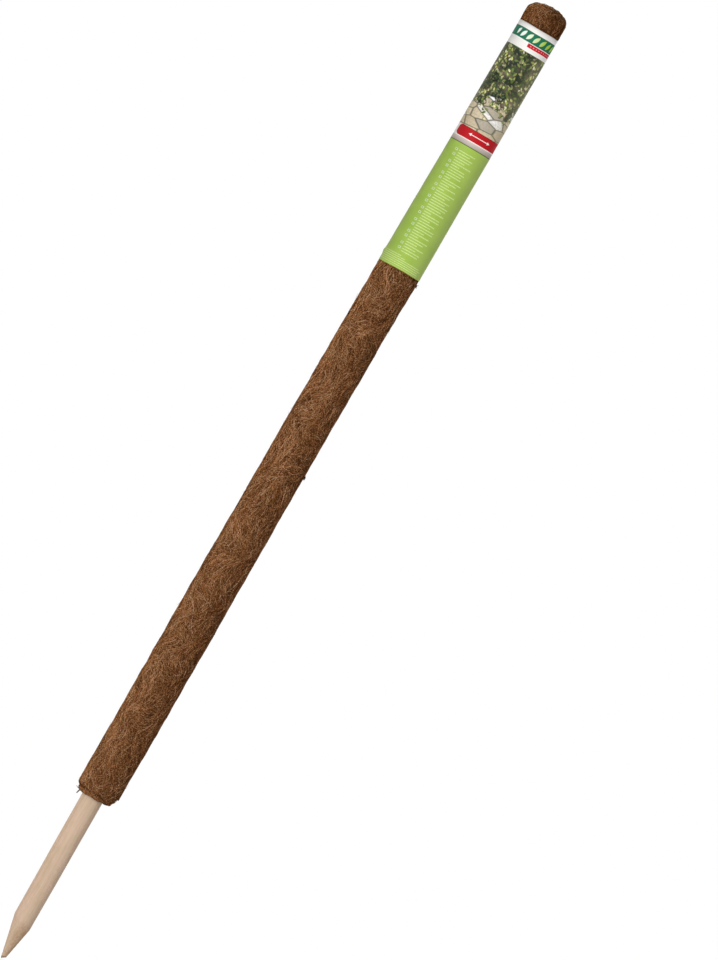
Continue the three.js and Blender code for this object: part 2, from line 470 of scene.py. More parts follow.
def dome_profile():
    """The dome's outline by arc from its rim: share of the radius, rise, parts of the normal."""
    turn = np.linspace(0, math.pi / 2, DOME_STEPS)
    height = TOP_Z - CAP_Z - FIBRE_LOFT
    across = np.cos(turn) ** (2 / DOME_FULLNESS)
    share = np.sin(turn) ** (2 / DOME_FULLNESS)
    steps = np.hypot(np.diff(across) * PRESSED_RADIUS, np.diff(share) * height)
    arc = np.concatenate([[0], np.cumsum(steps)])
    outward = across ** (DOME_FULLNESS - 1) / PRESSED_RADIUS
    upward = share ** (DOME_FULLNESS - 1) / height
    size = np.hypot(outward, upward)
    return arc, across, share * height, outward / size, upward / size


DOME_ARC, DOME_ACROSS, DOME_RISE, DOME_OUT, DOME_UP = dome_profile()


def dome_dent(angle, over):
    """How far the dome is drawn in: uneven all over, with a crease and pleats that run across it."""
    across = np.interp(over, DOME_ARC, DOME_ACROSS) * PRESSED_RADIUS
    x = across * np.cos(angle)
    y = across * np.sin(angle)
    crease = CREASE_DEPTH * bell(x - CREASE_X + CREASE_SLANT * y, CREASE_WIDTH)
    pleat = np.sin(TURN * np.hypot(x - PLEAT_X, y - PLEAT_Y) / PLEAT_PITCH)
    pleats = PLEAT_DEPTH * smooth(pleat) * smooth((x - PLEATS_FROM) / PLEATS_EASE)
    left = LEFT_DENT * smooth((-x - LEFT_DENT_FROM) / LEFT_DENT_EASE)
    crown = CROWN_HEIGHT * bell(np.hypot(x, y), CROWN_WIDTH)
    lobe = LOBE_HEIGHT * bell(x - LOBE_X, LOBE_WIDTH)
    uneven = DOME_UNEVEN * dome_lumps(angle, over * 2)
    return smooth(over / DOME_EASE) * (crease + pleats + left - crown - lobe + uneven)


def coir_surface(angle, climb, lift):
    """Points on the coir and normals, by angle and way climbed from the lower end onto the dome."""
    over = np.clip(climb - CAP_Z, 0, DOME_ARC[-1])
    z = np.minimum(climb, CAP_Z)
    across = np.interp(over, DOME_ARC, DOME_ACROSS)
    out = np.interp(over, DOME_ARC, DOME_OUT)
    up = np.interp(over, DOME_ARC, DOME_UP)
    stand = lift - dome_dent(angle, over)
    radius = coir_radius(angle, z) * across + stand * out
    radius = np.maximum(np.minimum(radius, coir_limit(angle, z)), 0)
    z = z + np.interp(over, DOME_ARC, DOME_RISE) + stand * up
    return turned(angle, radius, z), turned(angle, out, up)


def as_light(colour):
    """The light that a screen colour, "#rrggbb", stands for, or a grey of so much light."""
    if not isinstance(colour, str):
        return (colour, colour, colour, 1.0)
    light = []
    for part in (int(colour[at:at + 2], 16) / 255 for at in (1, 3, 5)):
        light.append(part / 12.92 if part < 0.04 else ((part + 0.055) / 1.055) ** 2.4)
    return (*light, 1.0)


def feed(socket, value):
    """Links a node's input to a value, or sets it to a screen colour or a number."""
    if isinstance(value, Value):
        socket.id_data.links.new(value.socket, socket)
    else:
        socket.default_value = as_light(value) if isinstance(value, str) else value


def add_node(tree, kind, inputs, output=0, **settings):
    """Adds a node and returns one of its outputs."""
    made = tree.nodes.new("ShaderNode" + kind)
    for key, value in settings.items():
        setattr(made, key, value)
    for key, value in inputs.items():
        feed(made.inputs[key], value)
    return Value(made.outputs[output])


class Value:
    """A node's output: a number, a place or a colour. What is done with it adds nodes."""

    def __init__(self, socket):
        self.socket = socket

    def node(self, kind, inputs, output=0, **settings):
        return add_node(self.socket.id_data, kind, inputs, output, **settings)

    def output(self, name):
        """Another output of the same node."""
        return Value(self.socket.node.outputs[name])

    def apply(self, operation, *others):
        return self.node("Math", dict(enumerate((self, *others))), operation=operation)

    __add__ = partialmethod(apply, "ADD")
    __sub__ = partialmethod(apply, "SUBTRACT")
    __mul__ = partialmethod(apply, "MULTIPLY")
    __truediv__ = partialmethod(apply, "DIVIDE")
    __pow__ = partialmethod(apply, "POWER")
    __mod__ = partialmethod(apply, "MODULO")
    __gt__ = partialmethod(apply, "GREATER_THAN")
    __lt__ = partialmethod(apply, "LESS_THAN")
    __abs__ = partialmethod(apply, "ABSOLUTE")
    most = partialmethod(apply, "MAXIMUM")
    floor = partialmethod(apply, "FLOOR")
    fraction = partialmethod(apply, "FRACT")

    def within(self, low, high):
        """1 where the value lies between two bounds, 0 elsewhere."""
        return (self > low) * (self < high)

    def spread(self, low, high, to_low=0.0, to_high=1.0):
        """The value moved from one range to another, and held inside it."""
        inputs = {0: self, 1: low, 2: high, 3: to_low, 4: to_high}
        return self.node("MapRange", inputs, clamp=True)

    def split(self, kind="XYZ"):
        """The three parts of a place, or of a colour."""
        parts = self.node("Separate" + kind, {0: self}).socket.node.outputs
        return [Value(part) for part in parts]

    def point(self, other):
        """The place with the value as its X and another as its Y."""
        return self.node("CombineXYZ", {0: self, 1: other})

    def stretch(self, scale, turn=(0, 0, 0)):
        return self.node("Mapping", {"Vector": self, "Scale": scale, "Rotation": turn})

    def spin(self, angle):
        inputs = {"Vector": self, "Angle": angle}
        return self.node("VectorRotate", inputs, rotation_type="Z_AXIS")

    def noise(self, scale, detail, distortion=0.0):
        inputs = {"Vector": self, "Scale": scale, "Detail": detail, "Distortion": distortion}
        return self.node("TexNoise", inputs)

    def cells(self, scale, output, feature="F1"):
        """Cells about points scattered over a plane."""
        settings = {"feature": feature, "voronoi_dimensions": "2D"}
        return self.node("TexVoronoi", {"Vector": self, "Scale": scale}, output, **settings)

    def ramp(self, *stops):
        """A colour by the value, from stops that are each a place and a colour."""
        result = self.node("ValToRGB", {0: self})
        elements = result.socket.node.color_ramp.elements
        while len(elements) < len(stops):
            elements.new(0.5)
        for element, (place, colour) in zip(elements, stops):
            element.position = place
            element.color = as_light(colour)
        return result

    def mix(self, first, second):
        """Two colours mixed by the value, the first at 0 and the second at 1."""
        return self.node("Mix", {0: self, 6: first, 7: second}, 2, data_type="RGBA")


class Look:
    """A surface material."""

    def __init__(self, name, roughness, **shine):
        self.material = bpy.data.materials.new(name)
        self.material.use_nodes = True
        self.tree = self.material.node_tree
        self.shader = self.tree.nodes["Principled BSDF"]
        self.set("Roughness", roughness)
        for key, value in shine.items():
            self.set(key.replace("_", " "), value)

    def set(self, key, value):
        feed(self.shader.inputs[key], value)

    def place(self):
        return add_node(self.tree, "TexCoord", {}, "Object")

    def bump(self, height, strength, distance):
        inputs = {"Height": height, "Strength": strength, "Distance": distance}
        self.set("Normal", add_node(self.tree, "Bump", inputs))

    def colour(self, value):
        self.set("Base Color", value)
        return self.material


def add_object(name, data):
    """Puts a mesh, a lens or a lamp into the scene."""
    made = bpy.data.objects.new(name, data)
    bpy.context.scene.collection.objects.link(made)
    return made


def add_mesh(name, vertices, quads, materials, triangles=np.zeros((0, 3), int)):
    """A smooth-shaded mesh object from arrays of points and faces."""
    mesh = bpy.data.meshes.new(name)
    mesh.vertices.add(len(vertices))
    mesh.vertices.foreach_set("co", np.asarray(vertices, np.float32).ravel())
    corners = np.concatenate([quads.ravel(), triangles.ravel()]).astype(np.int32)
    mesh.loops.add(len(corners))
    mesh.loops.foreach_set("vertex_index", corners)
    starts = np.concatenate([np.arange(len(quads)) * 4, quads.size + np.arange(len(triangles)) * 3])
    mesh.polygons.add(len(starts))
    mesh.polygons.foreach_set("loop_start", starts.astype(np.int32))
    mesh.update(calc_edges=True)
    mesh.shade_smooth()
    for material in materials:
        mesh.materials.append(material)
    return add_object(name, mesh)


def add_map(piece, name, places):
    """A map of a piece's faces, from the places of their corners."""
    layer = piece.data.uv_layers.new(name=name)
    layer.data.foreach_set("uv", np.asarray(places, np.float32).ravel())


def ring_quads(rows, columns, closed):
    """Faces of a grid whose columns go round, and its rows too if it is closed."""
    row = np.arange(rows if closed else rows - 1)[:, None]
    column = np.arange(columns)[None, :]
    beside = (column + 1) % columns
    here = row * columns
    above = (row + 1) % rows * columns
    corners = [here + column, here + beside, above + beside, above + column]
    return np.stack(corners, axis=-1).reshape(-1, 4)


def ring_angles(count):
    """Even angles round the pole."""
    return np.linspace(0, TURN, count, endpoint=False)


def turned(angle, radius, z):
    """Points at an angle, radius and height."""
    return np.stack([radius * np.cos(angle), radius * np.sin(angle), z + 0 * angle], axis=-1)


def closed_ring(name, rows, material):
    """A piece whose section is a closed loop carried round the pole."""
    points = np.stack(rows)
    quads = ring_quads(len(rows), points.shape[1], True)
    return add_mesh(name, points.reshape(-1, 3), quads, [material])


def capped_tube(name, rows, material):
    """A piece of rings from its lower end to its upper, each end closed by a fan."""
    points = np.stack(rows)
    count, columns = points.shape[:2]
    centres = np.stack([points[0].mean(axis=0), points[-1].mean(axis=0)])
    vertices = np.concatenate([points.reshape(-1, 3), centres])
    column = np.arange(columns)
    after = (column + 1) % columns
    last = (count - 1) * columns
    low = np.stack([after, column, np.full(columns, count * columns)], axis=-1)
    high = np.stack([last + column, last + after, np.full(columns, count * columns + 1)], axis=-1)
    quads = ring_quads(count, columns, False)
    return add_mesh(name, vertices, quads, [material], np.concatenate([low, high]))


def wood_look():
    """Pale planed softwood, faintly ringed, its point browner on one side and soiled."""
    look = Look("pale_wood", roughness=0.65, Specular_IOR_Level=0.25)
    place = look.place()
    x, _, z = place.split()
    rings = place.stretch((240, 170, 3.5), (0, 0.03, 0.5)).noise(1.0, 3.0, 0.5)
    pores = place.stretch((1500, 1500, 40)).noise(1.0, 3.0)
    streaks = place.stretch((300, 300, 9)).noise(1.0, 2.0)
    flush = place.stretch((90, 90, 60)).noise(1.0, 3.0)
    colour = rings.ramp((0.3, "#bea489"), (0.5, "#c9b197"), (0.7, "#c3aa8f"))
    colour = flush.spread(0.4, 0.65, 0, 0.8).mix(colour, "#d0b29c")
    colour = pores.spread(0.5, 0.72, 0, 0.4).mix(colour, "#a68a6e")
    colour = streaks.spread(0.56, 0.76, 0, 0.35).mix(colour, "#aa8c6e")
    cut_end = TIP_Z + POINT_LENGTH
    on_point = z.spread(cut_end + 2 * MM, cut_end - 6 * MM)
    grain_side = x.spread(-1 * MM, 4 * MM, 0.05, 0.75)
    rough = place.noise(420.0, 2.0).spread(0.35, 0.65, 0.4, 1.0)
    colour = (on_point * grain_side * rough).mix(colour, "#a4805e")
    soiled = (z - x * TIP_SLANT).spread(TIP_Z + SOIL_HEIGHT, TIP_Z + SOIL_DARK, 0, 0.95)
    corner = x.spread(4 * MM, 1 * MM, 0.25, 1.0)
    look.bump(pores, 0.12, 0.15 * MM)
    return look.colour((soiled * corner).mix(colour, "#463a30"))


def up_shaft(z):
    """0 at the top of the point, 1 where the dowel goes into the coir and above."""
    low = TIP_Z + POINT_LENGTH
    return np.clip((z - low) / -low, 0, 1)


def stake_lean(z):
    """How far the dowel leans off the axis, which it regains inside the coir."""
    lean = LEAN_LOW + (LEAN_HIGH - LEAN_LOW) * up_shaft(z)
    return lean * (1 - np.clip(z / MAT_TOP_Z, 0, 1))


def stake_girth(z):
    """Radius of the dowel, a little thicker toward the coir."""
    return STAKE_RADIUS * (GIRTH_LOW + (GIRTH_HIGH - GIRTH_LOW) * up_shaft(z))


def stake_piece():
    """The dowel, turned to a point that sits a little off its axis and is cut blunt."""
    angle = ring_angles(STAKE_SIDES)
    point = np.arange(0, POINT_ZONE, POINT_STEP)
    shaft = np.linspace(POINT_ZONE, STAKE_TOP_Z - TIP_Z, SHAFT_ROWS)
    rows = []
    for climb in np.concatenate([point, shaft]):
        offset = TIP_OFFSET + (POINT_OFFSET - TIP_OFFSET) * min(climb / POINT_LENGTH, 1)
        cone = POINT_TIP_RADIUS + (STAKE_RADIUS - POINT_TIP_RADIUS) * climb / POINT_LENGTH
        cone = cone - CHATTER_DEPTH * (0.5 + 0.5 * math.sin(TURN * climb / CHATTER_PITCH))
        to_cone = offset * np.cos(angle) + np.sqrt(cone ** 2 - (offset * np.sin(angle)) ** 2)
        to_shaft = stake_girth(TIP_Z + climb) + SHAFT_UNEVEN * shaft_bend(angle, climb)
        ring = turned(angle, np.minimum(to_cone, to_shaft), TIP_Z + climb)
        if climb < POINT_LENGTH / 4:
            cut = TIP_Z + TIP_SLANT * (ring[:, 0] - TIP_OFFSET + POINT_TIP_RADIUS)
            ring[:, 2] = np.maximum(ring[:, 2], cut)
        ring[:, 0] += stake_lean(TIP_Z + climb)
        rows.append(ring)
    piece = capped_tube("stake_wood", rows, wood_look())
    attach(piece, "pole")
    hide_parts("stake")


def felt_look():
    """The shaded mass of coir under the loose fibres: short dark hairs, matted every way."""
    look = Look("coir_felt", roughness=0.95, Specular_IOR_Level=0.05)
    place = look.place()
    upright = place.stretch((1400, 1400, 240), (0.4, 0.3, 0)).noise(1.0, 3.0, 1.5)
    slanted = place.stretch((1400, 1400, 240), (1.1, 0.9, 0.5)).noise(1.0, 3.0, 1.5)
    hairs = upright.most(slanted)
    colour = hairs.ramp((0.42, "#341c0a"), (0.58, "#643e20"), (0.74, "#8a5c38"))
    look.bump(hairs, 0.6, 0.4 * MM)
    patch = place.noise(30.0, 3.0).spread(0.35, 0.65, 0, 0.4)
    return look.colour(patch.mix(colour, "#442812"))


def coir_angles():
    """Angles round the coir, closer together at the seam."""
    beside = np.array(SEAM_STEPS) * MM / FREE_RADIUS
    return np.unique(np.concatenate([ring_angles(COIR_SIDES), SEAM_ANGLE - beside, SEAM_ANGLE + beside]))


def inner_layer(felt):
    """The layer of coir next to the stake, whose ragged edge shows at the lower end."""
    angle = coir_angles()
    ragged = lip_low(angle) + RAGGED * coir_edge(angle + 1, 0 * angle)
    near = np.arange(INNER_EDGE_ROWS) * INNER_EDGE_STEP
    rows = []
    for height in np.concatenate([near, np.linspace(EDGE_ZONE, MAT_TOP_Z, INNER_ROWS)]):
        z = height + ragged * (1 - height / MAT_TOP_Z)
        inside = smooth((z - lower_edge(angle) + LIP_TUCK) / LIP_EASE)
        lip = lip_radius(angle, z) - FIBRE_BED + INNER_GRAIN * coir_grain(angle, z)
        rows.append(turned(angle, lip * (1 - inside) + INNER_RADIUS * inside, z))
    bore = stake_girth(0.0) + STAKE_FIT
    rows.append(turned(angle, bore, MAT_TOP_Z))
    rows.append(turned(angle, bore, ragged + INNER_RISE) + np.array([stake_lean(0.0), 0, 0]))
    piece = closed_ring("coir_inner_layer", rows, felt)
    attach(piece, "pole")
    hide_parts("inner_coir_mat")


def outer_layer(felt):
    """The outer layer of coir, with its uneven lower edge and its seam."""
    angle = coir_angles()
    edge = lower_edge(angle)
    bore = INNER_RADIUS + LAYER_FIT
    near = np.arange(OUTER_EDGE_ROWS) * OUTER_EDGE_STEP
    rows = []
    for height in np.concatenate([near, np.arange(EDGE_ZONE, MAT_TOP_Z, OUTER_STEP), [MAT_TOP_Z]]):
        z = height + edge * (1 - height / MAT_TOP_Z)
        shy = EDGE_SHY * math.exp(-height / EDGE_SHY)
        radius = outer_radius(angle, z) - FIBRE_BED - shy + OUTER_GRAIN * coir_grain(angle, z)
        rows.append(turned(angle, np.minimum(radius, coir_limit(angle, z) - FIBRE_BED), z))
    rows.append(turned(angle, bore, MAT_TOP_Z))
    rows.append(turned(angle, bore, edge + OUTER_RISE))
    piece = closed_ring("coir_outer_layer", rows, felt)
    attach(piece, "pole")
    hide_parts("outer_coir_mat")


def top_cap(felt):
    """The dome of coir that closes the top, uneven and folded."""
    angle = coir_angles()
    rows = [turned(angle, CAP_CORE, CAP_Z)]
    for over in np.linspace(0, DOME_ARC[-1] - CROWN_GAP, DOME_ROWS):
        points, _ = coir_surface(angle, CAP_Z + over, -FIBRE_BED)
        rows.append(points)
    piece = capped_tube("coir_top_cap", rows, felt)
    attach(piece, "pole")
    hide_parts("top_coir_cap")


def fibre_strides(rng, count, shortest, longest):
    """The way between two points of each fibre, short fibres being more common."""
    return shortest * (longest / shortest) ** rng.random(count) / (FIBRE_POINTS - 1)


def flat_paths(rng, count, shortest, longest, curl):
    """Curved paths on a flat sheet, each round its own middle: ways across and along."""
    stride = fibre_strides(rng, count, shortest, longest)[:, None]
    heading = rng.random((count, 1)) * TURN
    bend = rng.normal(0, curl, (count, 1))
    sway = rng.normal(0, curl, (count, 1))
    turn = heading + bend * FIBRE_STEPS + sway * (FIBRE_STEPS ** 2) * 3

    def walk(part):
        halves = (part[:, 1:] + part[:, :-1]) / 2 * stride
        path = np.concatenate([np.zeros((count, 1)), np.cumsum(halves, axis=1)], axis=1)
        return path - path[:, FIBRE_POINTS // 2][:, None]

    return walk(np.cos(turn)), walk(np.sin(turn))


def flow_paths(rng, start, rise, shortest, longest, curl):
    """Paths up the pole's side: most keep near the flow there, the rest cross it."""
    count = len(start)
    stride = fibre_strides(rng, count, shortest, longest)
    follows = rng.random(count) < FLOW_SHARE
    aside = np.where(follows, rng.normal(0, FLOW_SPREAD, count), rng.random(count) * TURN)
    aside += math.pi * (rng.random(count) < 0.5)
    bend = rng.normal(0, curl, count) * np.where(follows, FLOW_CURL, 1)
    angles, climbs = [start], [rise]
    for step in FIBRE_STEPS[:-1]:
        flow = math.pi / 2 - FLOW_LEAN + FLOW_TURN * coir_flow(angles[-1], climbs[-1])
        heading = flow + aside + bend * step
        angles.append(angles[-1] + stride * np.cos(heading) / FREE_RADIUS)
        climbs.append(climbs[-1] + stride * np.sin(heading))
    return np.stack(angles, axis=1), np.stack(climbs, axis=1)


def side_paths(rng, count, *form):
    """Fibres on the outer layer's side: most turn back at its lower edge, some hang over it."""
    order = np.arange(count)
    start = (rng.random() + order * EVEN_STEP) % 1 * TURN
    rise = (rng.random() + order * EVEN_STEP ** 2) % 1 * (CAP_Z + SIDE_MARGIN)
    angle, climb = flow_paths(rng, start, rise, *form)
    likely = HANGING_SHARE * smooth((np.cos(start) - HANGING_FROM) / HANGING_EASE)
    hangs = (rng.random(count) < likely)[:, None]
    edge = np.where(hangs, lip_low(angle), lower_edge(angle) + EDGE_GAP)
    return angle, edge + np.abs(climb - edge)


def lip_paths(rng, count, *form):
    """Fibres on the inner layer's lip, which shows below the outer layer."""
    across, along = flat_paths(rng, count, *form)
    angle = rng.random((count, 1)) * TURN + across / LIP_RADIUS
    low = lip_low(angle)
    height = lower_edge(angle) - low
    climb = rng.random((count, 1)) * LIP_HEIGHT + along
    return angle, low + np.abs((climb + height) % (2 * height) - height)


def dome_paths(rng, count, *form):
    """Fibres on the dome, laid out flat round its crown."""
    across, along = flat_paths(rng, count, *form)
    away = (DOME_ARC[-1] + DOME_MARGIN) * np.sqrt(rng.random((count, 1)))
    toward = rng.random((count, 1)) * TURN
    x = away * np.cos(toward) + across
    y = away * np.sin(toward) + along
    return np.arctan2(y, x), CAP_Z + DOME_ARC[-1] - np.hypot(x, y)


def unit(vectors):
    """Vectors brought to length 1."""
    return vectors / (np.linalg.norm(vectors, axis=2, keepdims=True) + 1e-12)


def fibre_tubes(points, normals, radius):
    """Three-sided closed tubes along rows of points: vertices, side faces and end faces."""
    along = unit(np.gradient(points, axis=1))
    out = unit(normals - (normals * along).sum(axis=2, keepdims=True) * along)
    turn = ring_angles(FIBRE_SIDES)[:, None]
    ring = out[:, :, None] * np.cos(turn) + np.cross(along, out)[:, :, None] * np.sin(turn)
    vertices = points[:, :, None] + ring * radius[:, :, None, None]
    first = (np.arange(len(points)) * FIBRE_POINTS * FIBRE_SIDES)[:, None]
    quads = first[:, :, None] + ring_quads(FIBRE_POINTS, FIBRE_SIDES, False)[None]
    last = first + (FIBRE_POINTS - 1) * FIBRE_SIDES
    ends = np.stack([first + np.array([[0, 2, 1]]), last + np.array([[0, 1, 2]])], axis=1)
    return vertices.reshape(-1, 3), quads.reshape(-1, 4), ends.reshape(-1, 3)


def fibre_map(piece, count):
    """A map with a cell of its own for each fibre, its sides laid out side by side."""
    cells = math.ceil(math.sqrt(count))
    index = np.arange(count)
    origin = np.stack([index % cells, index // cells], axis=-1)[:, None] / cells
    segments = FIBRE_POINTS - 1
    part = np.arange(segments * FIBRE_SIDES)
    low_u, low_v = part // FIBRE_SIDES / segments, part % FIBRE_SIDES / FIBRE_SIDES
    high_u, high_v = low_u + 1 / segments, low_v + 1 / FIBRE_SIDES
    u = np.stack([low_u, low_u, high_u, high_u], axis=-1)
    v = np.stack([low_v, high_v, high_v, low_v], axis=-1)
    sides = CELL_START + CELL_SPAN * np.stack([u, v], axis=-1).reshape(-1, 2)
    tips = np.concatenate([CELL_TIP, np.add(CELL_TIP, CELL_TIP_STEP)])
    spots = [(origin + corners / cells).reshape(-1, 2) for corners in (sides, tips)]
    add_map(piece, "OFBake", np.concatenate(spots))


def fibre_look(name, dark, middle, pale):
    """Dry coir hair, a shade to each fibre, flecked along it, with painted shade on the right and at the
    top, a painted highlight on the crest and painted shadow by the band's edges.
    """
    look = Look(name, roughness=0.85, Specular_IOR_Level=0.08)
    place = look.place()
    x, _, z = place.split()
    along = place.noise(800.0, 2.0)
    # Painted shade: the coir is lighter on its left side and darker on its right, by its x
    side = x.spread(-FREE_RADIUS, FREE_RADIUS).ramp(*SIDE_SHADES)
    top = z.spread(BAND_TOP_Z - UNDER_FADE, BAND_TOP_Z + 3 * MM)
    # Painted shade on the dome's top, deeper towards its right side
    painted_dome_shade = x.spread(0, PRESSED_RADIUS, DARK_TOP, DARK_TOP_RIGHT)
    # Painted shade at the left edge of the dome's top
    edge = x.spread(-0.65 * PRESSED_RADIUS, -0.85 * PRESSED_RADIUS, 0, DARK_TOP_LEFT)
    # Painted highlight on the dome's crest
    crest = z.spread(CAP_Z + 3 * MM, TOP_Z - 2 * MM, 0, LIGHT_CREST)
    # Painted shadow along the band's top edge: darkest there and just above it, fading away downward
    # under the band
    rim = z.spread(BAND_TOP_Z - UNDER_FADE, BAND_TOP_Z, 0, DARK_RIM)
    rim_out = z.spread(BAND_TOP_Z + 2.4 * MM, BAND_TOP_Z + 1.2 * MM)
    # Painted shadow along the band's lower edge: darkest there and just below it, fading away upward
    # under the band
    foot = z.spread(BAND_LOW_Z + UNDER_FADE, BAND_LOW_Z, 0, DARK_FOOT)
    foot_out = z.spread(BAND_LOW_Z - 1.6 * MM, BAND_LOW_Z - 0.8 * MM)
    tone = add_node(look.tree, "Attribute", {}, "Fac", attribute_name="tone")
    tone = tone + along.spread(0.38, 0.62, -FLECKS, FLECKS) + (side - 0.5)
    tone = tone + top * (painted_dome_shade + edge) + crest + (rim * rim_out + foot * foot_out)
    look.set("Roughness", along.spread(0.3, 0.7, 0.75, 0.95))
    return look.colour(tone.ramp((0.06, dark), (0.5, middle), (0.94, pale)))


def fibre_mesh(name, points, normals, radius, tone, look):
    """A piece of fibre tubes on the pole, each with its own tone and place in the map."""
    vertices, quads, ends = fibre_tubes(points, normals, radius)
    piece = add_mesh(name, vertices, quads, [look], ends)
    tones = np.repeat(tone, FIBRE_POINTS * FIBRE_SIDES).astype(np.float32)
    piece.data.attributes.new("tone", "FLOAT", "POINT").data.foreach_set("value", tones)
    fibre_map(piece, len(points))
    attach(piece, "pole")


def lay_fibres(name, rng, paths, size, lift, look):
    """A piece of fibres from their paths on the coir, their thickness and their lift."""
    angle, climb = paths
    count = len(angle)
    thin, thick = np.array(size) * MM
    low, high, free_end = np.array(lift) * MM
    level = low + (high - low) * rng.random((count, 1))
    arch = FIBRE_ARCH * (1 - 4 * FIBRE_STEPS ** 2)
    tip = free_end * rng.random((count, 1)) ** 3 * (FIBRE_STEPS + 0.5) ** 2
    points, normals = coir_surface(angle, climb, level + arch + tip)
    radius = (thin + (thick - thin) * rng.random((count, 1)) ** 2) / 2
    taper = 1 - 0.5 * np.abs(2 * FIBRE_STEPS) ** 3
    even = (rng.random() + np.arange(count) * EVEN_STEP ** 3) % 1
    tone = 0.5 - FIBRE_SHADES * np.cos(math.pi * even)
    fibre_mesh(name, points, normals, radius * taper, tone, look)


def fibre_piece(name, seed, count, size, curl, lift, look):
    """A family of fibres over the coir: lengths and thicknesses in size, levels in lift, in mm."""
    rng = np.random.default_rng(seed)
    form = (size[0] * MM, size[1] * MM, curl)
    on_dome = round(count * DOME_SHARE)
    side = side_paths(rng, count - on_dome, *form)
    dome = dome_paths(rng, on_dome, *form)
    lay_fibres(name, rng, np.concatenate([side, dome], axis=1), size[2:], lift, look)


def lip_piece(name, seed, count, look):
    """The short fibres of the inner layer's lip."""
    rng = np.random.default_rng(seed)
    paths = lip_paths(rng, count, *LIP_FIBRE_FORM)
    lay_fibres(name, rng, paths, LIP_FIBRE_SIZE, LIP_FIBRE_LIFT, look)


def tuft_piece(look):
    """The few places where a bunch of fibre ends sticks out of the coir."""
    rng = np.random.default_rng(45)
    step = np.linspace(0, 1, FIBRE_POINTS)[None, :, None]
    strands = []
    for angle, z, sink, count, length, outward, downward, scatter in TUFTS:
        spread = rng.normal(0, scatter, (count, 5))
        start = angle + TUFT_AROUND * spread[:, 0]
        root, normal = coir_surface(start, z + TUFT_UP * spread[:, 1], -sink)
        lean = normal * outward - np.array([0, 0, downward]) + spread[:, 2:]
        reach = length * (TUFT_SHORTEST + (1 - TUFT_SHORTEST) * rng.random((count, 1)))
        lean *= reach / np.linalg.norm(lean, axis=1, keepdims=True)
        strands.append(root[:, None] + lean[:, None] * step)
    points = np.concatenate(strands)
    normals = np.broadcast_to(TUFT_FACING, points.shape)
    radius = np.broadcast_to(TUFT_RADIUS * (1 - TUFT_TAPER * step[:, :, 0]), points.shape[:2])
    fibre_mesh("coir_tufts", points, normals, radius, TUFT_TONE * rng.random(len(points)), look)


def coir_fibres():
    """All the loose fibre, in families from the shaded ground to the stray pale hairs."""
    deep = fibre_look("coir_deep", "#301905", "#5f3a1b", "#906139")
    brown = fibre_look("coir_brown", "#442609", "#8c5c35", "#ca986a")
    russet = fibre_look("coir_russet", "#5a3110", "#9b5f36", "#d49767")
    tan = fibre_look("coir_tan", "#76502c", "#b5865d", "#eac29b")
    fibre_piece("coir_fibres_deep", 31, 5800, (14, 34, 0.4, 0.7), 1.2, (-0.6, -0.35, 0), deep)
    fibre_piece("coir_fibres_dark", 30, 3400, (8, 24, 0.22, 0.36), 1.5, (-0.3, 0.05, 0), deep)
    fibre_piece("coir_fibres_low", 32, 5800, (10, 30, 0.32, 0.48), 1.4, (-0.45, -0.1, 0), brown)
    fibre_piece("coir_fibres_mid", 33, 5800, (10, 30, 0.3, 0.42), 1.4, (-0.3, 0.05, 0), brown)
    fibre_piece("coir_fibres_high", 41, 5800, (9, 28, 0.28, 0.4), 1.4, (-0.2, 0.1, 0.1), brown)
    fibre_piece("coir_fibres_russet", 35, 5800, (10, 32, 0.28, 0.42), 1.3, (-0.25, 0.1, 0.1), russet)
    fibre_piece("coir_fibres_tan", 36, 5000, (7, 24, 0.24, 0.36), 1.5, (-0.2, 0.12, 0.15), tan)
    fibre_piece("coir_strands_brown", 34, 3000, (12, 36, 0.38, 0.54), 1.3, (-0.05, 0.15, 0.1), brown)
    fibre_piece("coir_strands_russet", 38, 2200, (12, 44, 0.38, 0.54), 1.1, (-0.05, 0.15, 0.1), russet)
    fibre_piece("coir_strands_tan", 37, 1800, (8, 30, 0.34, 0.48), 1.4, (-0.05, 0.15, 0.1), tan)
    fibre_piece("coir_strays", 39, 320, (5, 13, 0.2, 0.32), 1.5, (0.1, 0.3, 2.5), brown)
    lip_piece("coir_lip_shade", 42, 360, deep)
    lip_piece("coir_lip_fibres", 40, 360, russet)
    lip_piece("coir_lip_curls", 43, 240, brown)
    tuft_piece(deep)


def leaf_shape(spot, half_length, half_width):
    """1 inside a pointed leaf about the origin, 0 outside it."""
    length, width, _ = spot.split()
    along = abs(length / half_length) ** 2
    room = (along - 1) * -half_width
    return (room - abs(width)).spread(-LEAF_BLUR, LEAF_BLUR)


def leaf_layer(spot, size, ground, greens, share):
    """Scattered leaves, each turned and shaded on its own, over a ground."""
    cells = spot.cells(1 / size, "Color")
    off = spot.node("VectorMath", {0: spot, 1: cells.output("Position")}, operation="SUBTRACT")
    turn, shade, chance = cells.split("Color")
    leaf = leaf_shape(off.spin(turn * TURN), size * 0.62, size * 0.27)
    green = shade.ramp(*zip((0.0, 0.35, 0.7, 1.0), greens))
    return (leaf * (chance < share)).mix(ground, green)


def paving(spot):
    """Pale uneven stones with dark joints."""
    flat = spot.stretch((0.6, 1.5, 1))
    shade, _, _ = flat.cells(STONE_SCALE, "Color").split("Color")
    colour = shade.ramp((0.0, "#969492"), (0.3, "#cebc9e"), (0.6, "#ecdcbc"), (0.9, "#f6f6f8"))
    colour = spot.noise(0.5, 3.0).spread(0.4, 0.7, 0, 0.5).mix(colour, "#928a7a")
    joint = flat.cells(STONE_SCALE, "Distance", "DISTANCE_TO_EDGE")
    return joint.spread(0.02, 0.1, 0.8, 0).mix(colour, "#3e4232")


